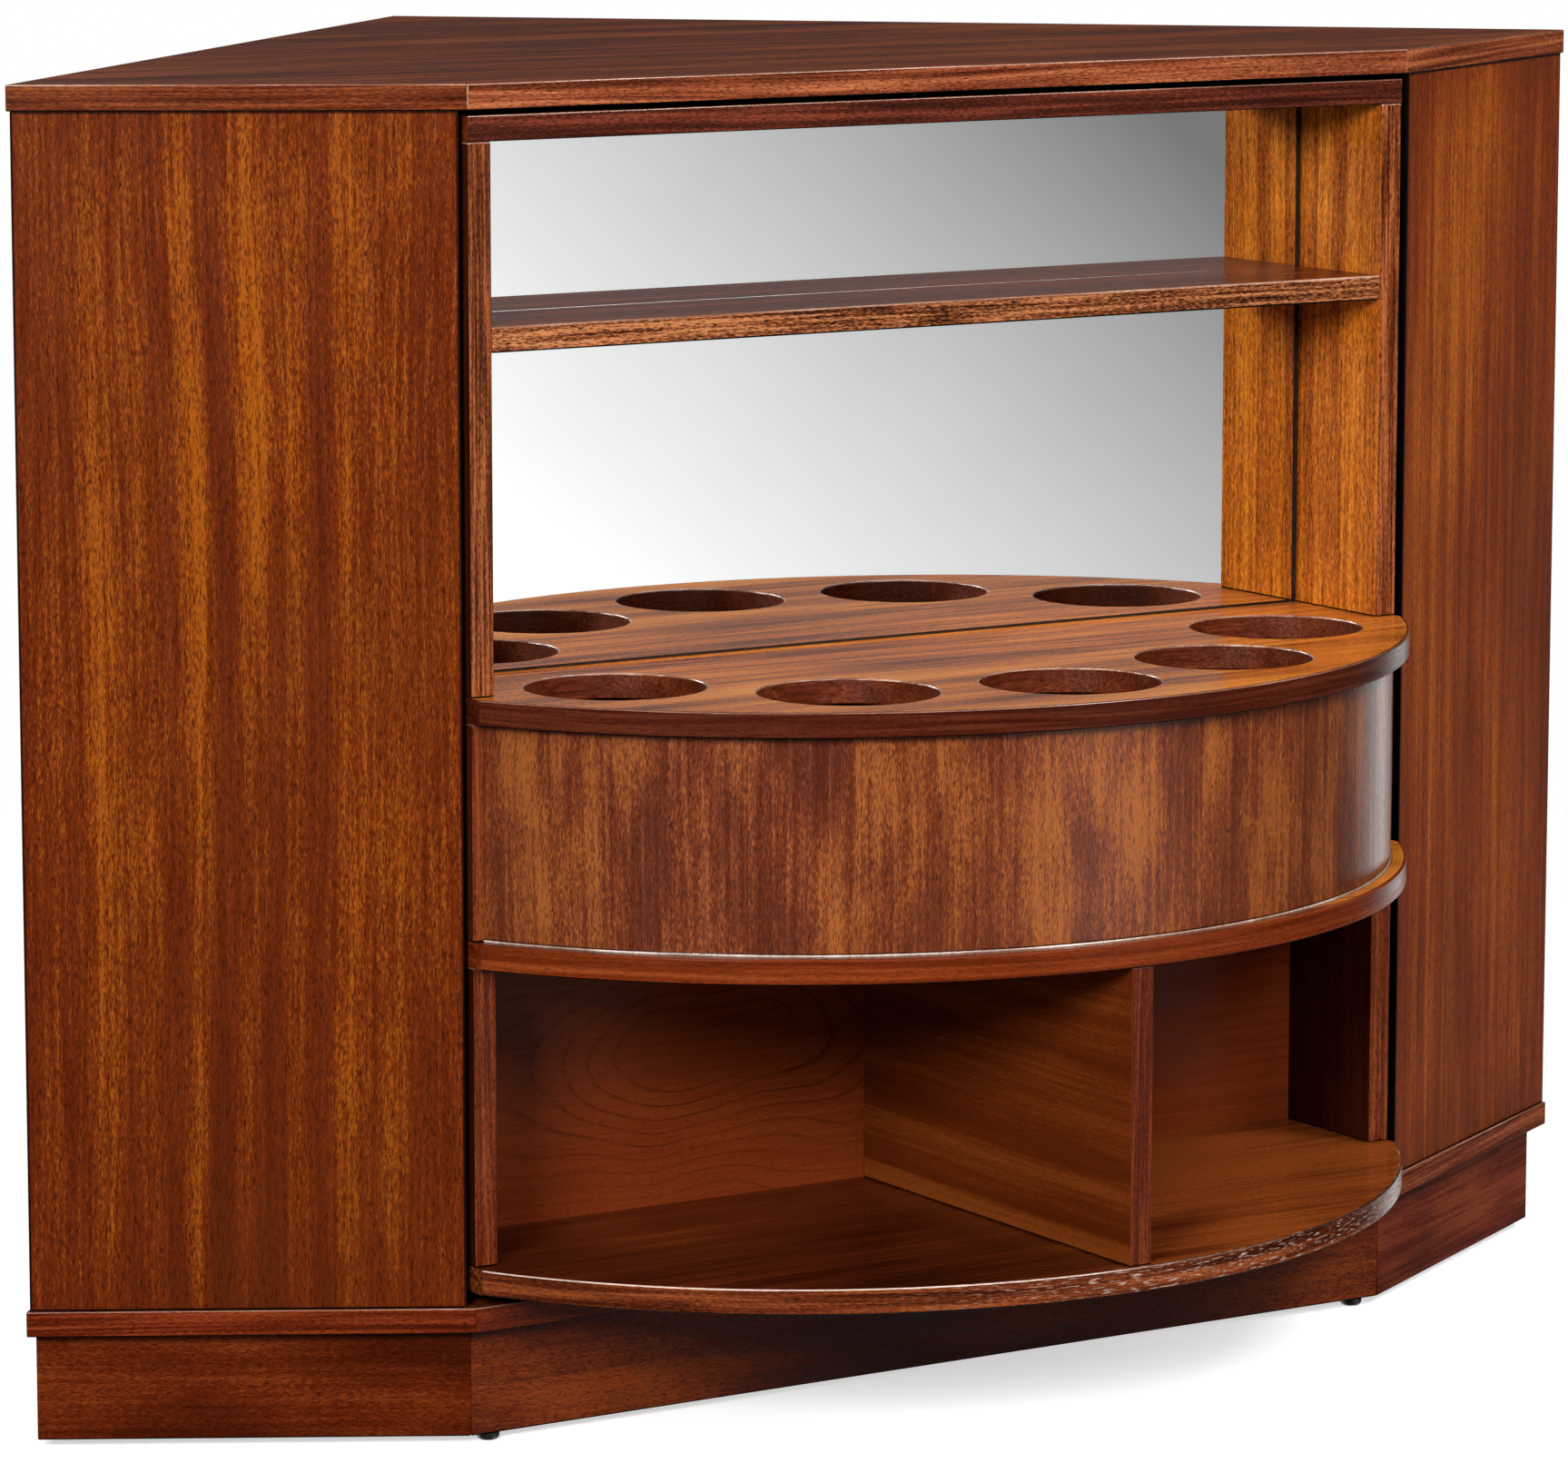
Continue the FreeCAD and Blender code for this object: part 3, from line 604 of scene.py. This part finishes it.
def board(node, materials, along, across, ease=EASE, chooser=None, hidden=Vector(), corner=0,
          highlit_ends=False, coordinates=None):
    """Piece with the CAD board's own faces and eased edges, its upper arrises light as a painted highlight
    with some wear, and its lower and rear ones dark as painted shade.

    corner rounds the two upper corners; the ends flag gives the upright arrises the painted highlight too.
    """
    bm = bmesh.new()
    bm.from_mesh(frame["nodes"][node].data)
    bmesh.ops.remove_doubles(bm, verts=bm.verts, dist=WELD)
    bmesh.ops.dissolve_limit(bm, angle_limit=FLAT_ANGLE, verts=bm.verts, edges=bm.edges)
    if corner:
        low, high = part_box(node)
        upper = []
        for edge in bm.edges:
            first, second = (vertex.co for vertex in edge.verts)
            at_top = min(first.z, second.z) > high.z - NEAR
            if at_top and abs(first.x) + abs(second.x) > 2 * high.x - NEAR:
                upper.append(edge)
        rounded(bm, upper, corner, 5)
    if ease:
        ease_edges(bm, ease, hidden)
    axes = (along, across, along.cross(across))

    def choose(face):
        narrow = 2 * face.calc_area() < ARRIS_WIDTH * sum(edge.calc_length() for edge in face.edges)
        if ease and narrow and max(abs(face.normal.dot(axis)) for axis in axes) < ON_AXIS:
            # Painted shade: lower and rear arrises near black
            if face.normal.z < -0.2 or face.normal.y > 0.3:
                return len(materials) + 1
            # Painted highlight: upper arrises light, and the upright ones where asked
            if face.normal.z > 0.2 or highlit_ends:
                return len(materials)
        return chooser(face) if chooser else 0

    return finish_piece(bm, node, materials + [highlight_wear_edge_wood, shade_black_wood], choose,
                        coordinates or flat_grain(along, across), False)


def facing(*directions):
    """Material number by the direction that a face looks in: 0 where none of the given ones fits."""
    def choose(face):
        for number, direction in enumerate(directions, 1):
            if face.normal.dot(direction) > LOOKS_THERE:
                return number
        return 0
    return choose


lip_low, lip_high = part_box("bottle_rack_lipping")
BOW_HALF = lip_high.x
lip_mesh = frame["nodes"]["bottle_rack_lipping"].data
bow = min(vertex.co.y for vertex in lip_mesh.vertices if vertex.co.x > BOW_HALF - NEAR) - lip_low.y
BOW_RADIUS = (BOW_HALF ** 2 + bow ** 2) / (2 * bow)
BOW_CENTRE = lip_low.y + BOW_RADIUS
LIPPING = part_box("bottle_rack_board")[0].y - lip_low.y
BACK_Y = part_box("bottle_rack_board")[1].y


def arc_points(radius):
    """Points of the bow at a radius, from the left side of the unit to the right."""
    limit = math.asin(BOW_HALF / radius)
    points = []
    for step in range(BOW_STEPS + 1):
        turn = limit * (2 * step / BOW_STEPS - 1)
        points.append((radius * math.sin(turn), BOW_CENTRE - radius * math.cos(turn)))
    return points


def bow_place(point):
    """Place along the bow and distance from its centre."""
    turn = math.atan2(point.x, BOW_CENTRE - point.y)
    return turn * BOW_RADIUS, math.hypot(point.x, point.y - BOW_CENTRE)


def band_grain(point):
    arc, radius = bow_place(point)
    return point.z, radius, arc


def upright_grain(point):
    arc, radius = bow_place(point)
    return arc, radius, point.z


def bowed_slab(node, materials, holes):
    """Board with a straight back and sides, a bowed front edge and any round holes, their rims eased."""
    low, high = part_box(node)
    back = [(BOW_HALF, BACK_Y), (-BOW_HALF, BACK_Y)]
    loops = [arc_points(BOW_RADIUS - LIPPING) + back]
    for x, y, radius in holes:
        turns = [2 * math.pi * step / HOLE_STEPS for step in range(HOLE_STEPS)]
        loops.append([(x + radius * math.cos(turn), y + radius * math.sin(turn)) for turn in turns])
    bm = bmesh.new()
    for loop in loops:
        corners = [bm.verts.new((x, y, low.z)) for x, y in loop]
        for first, second in zip(corners, corners[1:] + corners[:1]):
            bm.edges.new((first, second))
    bmesh.ops.triangle_fill(bm, use_beauty=True, edges=bm.edges)
    raised = bmesh.ops.extrude_face_region(bm, geom=bm.faces[:])
    tops = [part for part in raised["geom"] if isinstance(part, bmesh.types.BMVert)]
    bmesh.ops.translate(bm, verts=tops, vec=(0, 0, high.z - low.z))
    bmesh.ops.recalc_face_normals(bm, faces=bm.faces)

    def in_hole(point, margin):
        return any(math.hypot(point.x - x, point.y - y) < radius + margin for x, y, radius in holes)

    rims = []
    for edge in bm.edges:
        middle = (edge.verts[0].co + edge.verts[1].co) / 2
        is_sharp = len(edge.link_faces) == 2 and edge.calc_face_angle() > RIM_ANGLE
        if is_sharp and in_hole(middle, HOLE_MARGIN):
            rims.append(edge)
    rounded(bm, rims, RIM_EASE, 3)

    def choose(face):
        if abs(face.normal.z) < 0.98 and in_hole(face.calc_center_median(), RIM_REACH):
            # Upper rims of the holes take the light arris colour, a painted highlight; the lower ones the
            # hole's wood
            return 2 if face.normal.z > 0.15 else 1
        return len(materials) - 1 if abs(face.normal.x) > 0.95 else 0

    return finish_piece(bm, node, materials, choose, flat_grain(X, Y), True)


def swept_arc(node, materials, profile, half, coordinates):
    """Band bent along the bow, from radius and height pairs."""
    bm = bmesh.new()
    rings = []
    for step in range(BOW_STEPS + 1):
        ring = []
        for radius, height in profile:
            turn = math.asin(half / radius) * (2 * step / BOW_STEPS - 1)
            ring.append(bm.verts.new((radius * math.sin(turn), BOW_CENTRE - radius * math.cos(turn), height)))
        rings.append(ring)
    for first, second in zip(rings, rings[1:]):
        for step in range(len(profile)):
            bm.faces.new((first[step - 1], first[step], second[step], second[step - 1]))
    bm.faces.new(rings[0])
    bm.faces.new(rings[-1][::-1])

    def choose(face):
        # Upper arrises take the upper edge wood; lower arrises are near black, painted shade
        if 0.3 < abs(face.normal.z) < 0.97:
            return 1 if face.normal.z > 0 else 2
        return 0

    return finish_piece(bm, node, materials + [shade_black_wood], choose, coordinates, True)


def eased_profile(inner, outer, bottom, top, ease):
    """Band section whose two outer corners are rounded."""
    points = [(inner, bottom)]
    for step in range(5):
        turn = math.radians(-90 + 22.5 * step)
        points.append((outer - ease + ease * math.cos(turn), bottom + ease + ease * math.sin(turn)))
    for step in range(5):
        turn = math.radians(22.5 * step)
        points.append((outer - ease + ease * math.cos(turn), top - ease + ease * math.sin(turn)))
    points.append((inner, top))
    return points


def lipping(node, material, upper_edge):
    """Bent edge band of a bowed board."""
    low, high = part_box(node)
    profile = eased_profile(BOW_RADIUS - LIPPING, BOW_RADIUS, low.z, high.z, LIPPING_EASE)
    return swept_arc(node, [material, upper_edge], profile, BOW_HALF, band_grain)


def apron():
    """Bent board with a small fillet of lacquer along its foot, coloured near white as a painted highlight.
    """
    low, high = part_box("curved_apron")
    outer = BOW_CENTRE - low.y
    profile = [(outer - APRON_THICKNESS, low.z)]
    for step in range(6):
        turn = math.radians(-90 - 18 * step)
        profile.append((outer + FILLET * (1 + math.cos(turn)), low.z + FILLET * (1 + math.sin(turn))))
    profile += [(outer, high.z), (outer - APRON_THICKNESS, high.z)]
    return swept_arc("curved_apron", [apron_wood, highlight_line_wood], profile, high.x,
                     upright_grain)


def mirror():
    """Glass with a dark border, silvered behind the rest, and a polished arris all round."""
    low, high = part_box("mirror")
    bm = bmesh.new()

    def loop(inset_x, inset_z, y):
        corners = ((low.x + inset_x, low.z + inset_z), (high.x - inset_x, low.z + inset_z),
                   (high.x - inset_x, high.z - inset_z), (low.x + inset_x, high.z - inset_z))
        return [bm.verts.new((x, y, z)) for x, z in corners]

    loops = [loop(MIRROR_SIDE_BORDER, MIRROR_BORDER, low.y), loop(MIRROR_ARRIS, MIRROR_ARRIS, low.y),
             loop(0, 0, low.y + MIRROR_ARRIS), loop(0, 0, high.y)]
    silver = bm.faces.new(loops[0])
    silver.material_index = 1
    for first, second in zip(loops, loops[1:]):
        for step in range(4):
            bm.faces.new((first[step - 1], first[step], second[step], second[step - 1]))
    bm.faces.new(loops[-1])

    def choose(face):
        return face.material_index

    return finish_piece(bm, "mirror", [mirror_edge, mirror_silver], choose,
                        flat_grain(Z, X), False)


def foot(node):
    """Round glide with a domed foot and its stem."""
    low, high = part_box(node)
    centre = (low + high) / 2
    radius = (high.x - low.x) / 2
    profile = [(FOOT_FLAT, 0.0)]
    for step in range(7):
        turn = math.radians(-90 + 15 * step)
        profile.append((radius + FOOT_DOME * (math.cos(turn) - 1), FOOT_DOME * (1 + math.sin(turn))))
    profile += [(radius, FOOT_HEAD - FOOT_EASE), (radius - FOOT_EASE, FOOT_HEAD), (FOOT_STEM, FOOT_HEAD),
                (FOOT_STEM, high.z)]
    turns = [2 * math.pi * step / FOOT_STEPS for step in range(FOOT_STEPS)]
    bm = bmesh.new()
    rings = []
    for size, height in profile:
        ring = []
        for turn in turns:
            x = centre.x + size * math.cos(turn)
            y = centre.y + size * math.sin(turn)
            ring.append(bm.verts.new((x, y, height)))
        rings.append(ring)
    for lower, upper in zip(rings, rings[1:]):
        for step in range(FOOT_STEPS):
            bm.faces.new((lower[step - 1], lower[step], upper[step], upper[step - 1]))
    bm.faces.new(rings[0][::-1])
    bm.faces.new(rings[-1])
    return finish_piece(bm, node, [black_plastic], None, flat_grain(Z, X), True)


def bottle_holes():
    """Centre and radius of each bottle hole, from the openings in the record."""
    holes = []
    for item in frame["record"]["physics"]["openings"]:
        if item["name"].startswith("bottle_hole") and item["name"].endswith("square"):
            low, high = item["box_m"]
            holes.append(((low[0] + high[0]) / 2, (low[1] + high[1]) / 2, HOLE_RADIUS))
    return holes


def unit_sides():
    """Three pairs of sides, the upper pair with a gold inner face and brighter front edges."""
    for level in ("upper", "mid", "lower"):
        # The lower pairs' inner faces and all outer faces are dark with painted shade
        inner, left_stile, right_stile = shade_dark_wood, low_stile_wood, low_stile_wood
        if level == "upper":
            inner, left_stile, right_stile = gold_wood, dim_stile_wood, stile_wood
        for side, edge, outward in (("left", left_stile, -X), ("right", right_stile, X)):
            board(level + "_" + side + "_side", [inner, edge, shade_dark_wood], Z, Y,
                  chooser=facing(FRONT, outward))


def divider():
    """Board between the compartments, its grain from front to back, and upright on its front edge."""
    front_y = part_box("compartment_divider")[0].y

    def grain(point):
        return tuple(point) if point.y < front_y + EASE / 4 else (point.z, point.x, point.y)

    board("compartment_divider", [divider_wood, divider_band_wood], Y, Z,
          chooser=facing(FRONT), coordinates=grain)


def back_panel():
    """Panel with its grain across in the compartments, and upright on the side that closes the cabinet."""
    low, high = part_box("back_panel")
    centre = (low + high) / 2

    def grain(point):
        x, y, z = point - centre
        return (x, y, z) if y > 0 else (z, y, x)

    board("back_panel", [back_wood, wing_wood], X, Z, chooser=facing(Y), coordinates=grain)


def build_carcass():
    """Fixed boards and bands that can be seen."""
    left_face = LEFT_ALONG.cross(Z)
    right_face = RIGHT_ALONG.cross(Z)
    board("top_board", [top_wood], X, Y, ease=0)
    board("base_board", [ledge_wood], X, Y, ease=0)
    bands = {"top": (band_wood, shaded_left_band_wood, lit_right_band_wood),
             "base": (base_band_wood, base_band_wood, lit_right_base_wood)}
    for level, (middle, left, right) in bands.items():
        board(level + "_lipping_front", [middle], X, Z, hidden=Y, highlit_ends=level == "top")
        board(level + "_lipping_left", [left], LEFT_ALONG, Z, hidden=-left_face)
        board(level + "_lipping_right", [right], RIGHT_ALONG, Z, hidden=-right_face)
    # The wings' inner ends beside the unit are near black: painted shade in the gaps
    board("left_wing_panel", [shade_dark_wood, wing_wood, shade_black_wood], Z, LEFT_ALONG,
          chooser=facing(left_face, LEFT_ALONG), hidden=Z)
    board("right_wing_panel", [shade_dark_wood, lit_far_wing_wood, shade_black_wood], Z, RIGHT_ALONG,
          chooser=facing(right_face, -RIGHT_ALONG), hidden=Z)
    board("plinth_front", [plinth_wood], X, Z)
    board("plinth_left", [plinth_wood], LEFT_ALONG, Z)
    board("plinth_right", [lit_right_plinth_wood], RIGHT_ALONG, Z)


def build_unit():
    """Pieces of the revolving unit."""
    board("unit_top_panel", [ledge_wood, rail_wood, shade_dark_wood], X, Z,
          chooser=facing(FRONT, Z), corner=RAIL_CORNER, highlit_ends=True)
    unit_sides()
    board("display_shelf", [ledge_wood, shelf_band_wood], X, Y, chooser=facing(FRONT))
    divider()
    back_panel()
    bowed_slab("well_floor", [well_wood, bow_band_wood], [])
    bowed_slab("lower_shelf", [shelf_wood, worn_glint_band_wood], [])
    bowed_slab("bottle_rack_board", [rack_wood, hole_wood, highlight_wear_edge_wood, rack_band_wood], bottle_holes())
    lipping("bottle_rack_lipping", rack_band_wood, highlight_wear_edge_wood)
    lipping("well_floor_lipping", bow_band_wood, bow_band_wood)
    lipping("lower_shelf_lipping", worn_glint_band_wood, fading_highlight_wood)
    apron()
    mirror()


build_carcass()
build_unit()
for place in ("front_left", "front_right", "wall_left", "wall_right", "back"):
    foot("foot_" + place)
inner_materials = {
    "left_wall_panel": plywood,
    "right_wall_panel": plywood,
    "corner_post": softwood,
    "plinth_glue_blocks": softwood,
    "plinth_wall_left": softwood,
    "plinth_wall_right": softwood,
    "carcass_tongues": beech,
    "unit_tongues": beech,
    "bearing_base_ring": zinc,
    "bearing_top_ring": zinc,
    "pivot_pin": zinc,
    "foot_sleeves": zinc,
    "bearing_balls": bright,
    "bearing_cage": white_plastic,
    "pivot_bush": white_plastic,
}
for node, material in inner_materials.items():
    mesh = frame["nodes"][node].data
    mesh.materials.clear()
    mesh.materials.append(material)


# Stage


def floor_material():
    """Pale floor that is white to the camera away from the object and keeps its shadow."""
    tree = Tree("floor")
    tree.tree.nodes.remove(tree.surface)
    path = tree.add("ShaderNodeLightPath")
    place = tree.place()
    far = tree.span(tree.length(place), SHADOW_REACH, WHITE_FROM, 0.0, 1.0)
    paper = tree.noise(place, (4, 4, 4), detail=3)
    diffuse = tree.add("ShaderNodeBsdfDiffuse")
    tree.link(tree.mixed(paper, (0.80, 0.80, 0.80), (0.83, 0.83, 0.83)), diffuse.inputs["Color"])
    bounce = tree.add("ShaderNodeBsdfDiffuse")
    tree.link(tree.mixed(paper, (0.27, 0.27, 0.27), (0.30, 0.30, 0.30)), bounce.inputs["Color"])
    glow = tree.add("ShaderNodeEmission")
    glow.inputs["Strength"].default_value = 0.6
    lit = tree.add("ShaderNodeAddShader")
    tree.link(diffuse.outputs[0], lit.inputs[0])
    tree.link(glow.outputs[0], lit.inputs[1])
    white = tree.add("ShaderNodeEmission")
    clear = tree.add("ShaderNodeBsdfTransparent")
    seen = tree.blended(far, lit.outputs[0], white.outputs[0])
    surface = tree.blended(path.outputs["Is Camera Ray"], bounce.outputs[0], seen)
    surface = tree.blended(path.outputs["Is Glossy Ray"], surface, clear.outputs[0])
    tree.link(surface, tree.output.inputs[0])
    return tree.material


def build_floor():
    """Floor wide enough to fill the picture from any side."""
    mesh = bpy.data.meshes.new("floor")
    corners = [(x * FLOOR_REACH, y * FLOOR_REACH, 0) for x, y in ((-1, -1), (1, -1), (1, 1), (-1, 1))]
    mesh.from_pydata(corners, [], [(0, 1, 2, 3)])
    mesh.materials.append(floor_material())
    plane = bpy.data.objects.new("floor", mesh)
    bpy.context.scene.collection.objects.link(plane)


def build_world():
    """White to the camera, dim all round for light, and a white to grey sweep for mirrors and lacquer."""
    world = bpy.data.worlds.new("studio")
    bpy.context.scene.world = world
    world.use_nodes = True
    tree = Nodes(world.node_tree)
    ambient = world.node_tree.nodes["Background"]
    ambient.inputs["Color"].default_value = (0.95, 0.97, 1.0, 1)
    ambient.inputs["Strength"].default_value = 0.1
    white = tree.add("ShaderNodeBackground")
    white.inputs["Color"].default_value = (1, 1, 1, 1)
    x, y, z = tree.parts(tree.add("ShaderNodeTexCoord").outputs["Generated"])
    # In front of the cabinet the sweep falls from white low down to grey higher up and further right
    fall = tree.math("MULTIPLY_ADD", z, -6.1, 3.75)
    fall = tree.math("MULTIPLY_ADD", x, -6.85, fall)
    fall = tree.math("MINIMUM", tree.math("MAXIMUM", fall, 0.2), 1.12)
    ahead = tree.math("MULTIPLY", fall, tree.span(x, 0.15, 0.42, 0.05, 1.0))
    ahead = tree.math("MULTIPLY", ahead, tree.span(x, 0.7, 0.9, 1.0, 0.3))
    # Behind it the sweep is bright below the horizon and dim above
    behind = tree.span(z, -0.13, -0.03, 1.9, 0.062)
    back = tree.span(y, 0.3, 0.5, 0.0, 1.0)
    sweep = tree.add("ShaderNodeBackground")
    sweep.inputs["Color"].default_value = (1, 1, 1, 1)
    both = tree.math("MULTIPLY_ADD", back, tree.math("SUBTRACT", behind, ahead), ahead)
    tree.link(both, sweep.inputs["Strength"])
    path = tree.add("ShaderNodeLightPath")
    surface = tree.blended(path.outputs["Is Glossy Ray"], ambient.outputs[0], sweep.outputs[0])
    surface = tree.blended(path.outputs["Is Camera Ray"], surface, white.outputs[0])
    tree.link(surface, world.node_tree.nodes["World Output"].inputs["Surface"])


def lamp(name, azimuth, elevation, size, power):
    """Square soft lamp aimed at the middle of the cabinet."""
    turn = math.radians(azimuth)
    rise = math.radians(elevation)
    toward = Vector((math.sin(turn) * math.cos(rise), -math.cos(turn) * math.cos(rise), math.sin(rise)))
    data = bpy.data.lights.new(name, "AREA")
    data.size = size
    data.energy = power
    light = bpy.data.objects.new(name, data)
    light.location = AIM + toward * LAMP_DISTANCE
    light.rotation_euler = (-toward).to_track_quat("-Z", "Y").to_euler()
    bpy.context.scene.collection.objects.link(light)


def build_camera():
    """Camera fitted to the photograph."""
    data = bpy.data.cameras.new("camera")
    data.sensor_width = SENSOR_WIDTH
    data.lens = LENS
    camera = bpy.data.objects.new("camera", data)
    camera.location = CAMERA_PLACE
    camera.rotation_euler = (math.radians(90 - CAMERA_DROP), 0, math.radians(-CAMERA_TURN))
    bpy.context.scene.collection.objects.link(camera)
    bpy.context.scene.camera = camera


build_floor()
build_world()
lamp("left", -50, 20, 1.2, 185)
lamp("front", -5, 25, 1.4, 111)
lamp("right", 35, 45, 1.6, 123)
lamp("back", 180, 40, 2.0, 60)
build_camera()
bpy.context.scene.view_settings.view_transform = "Standard"
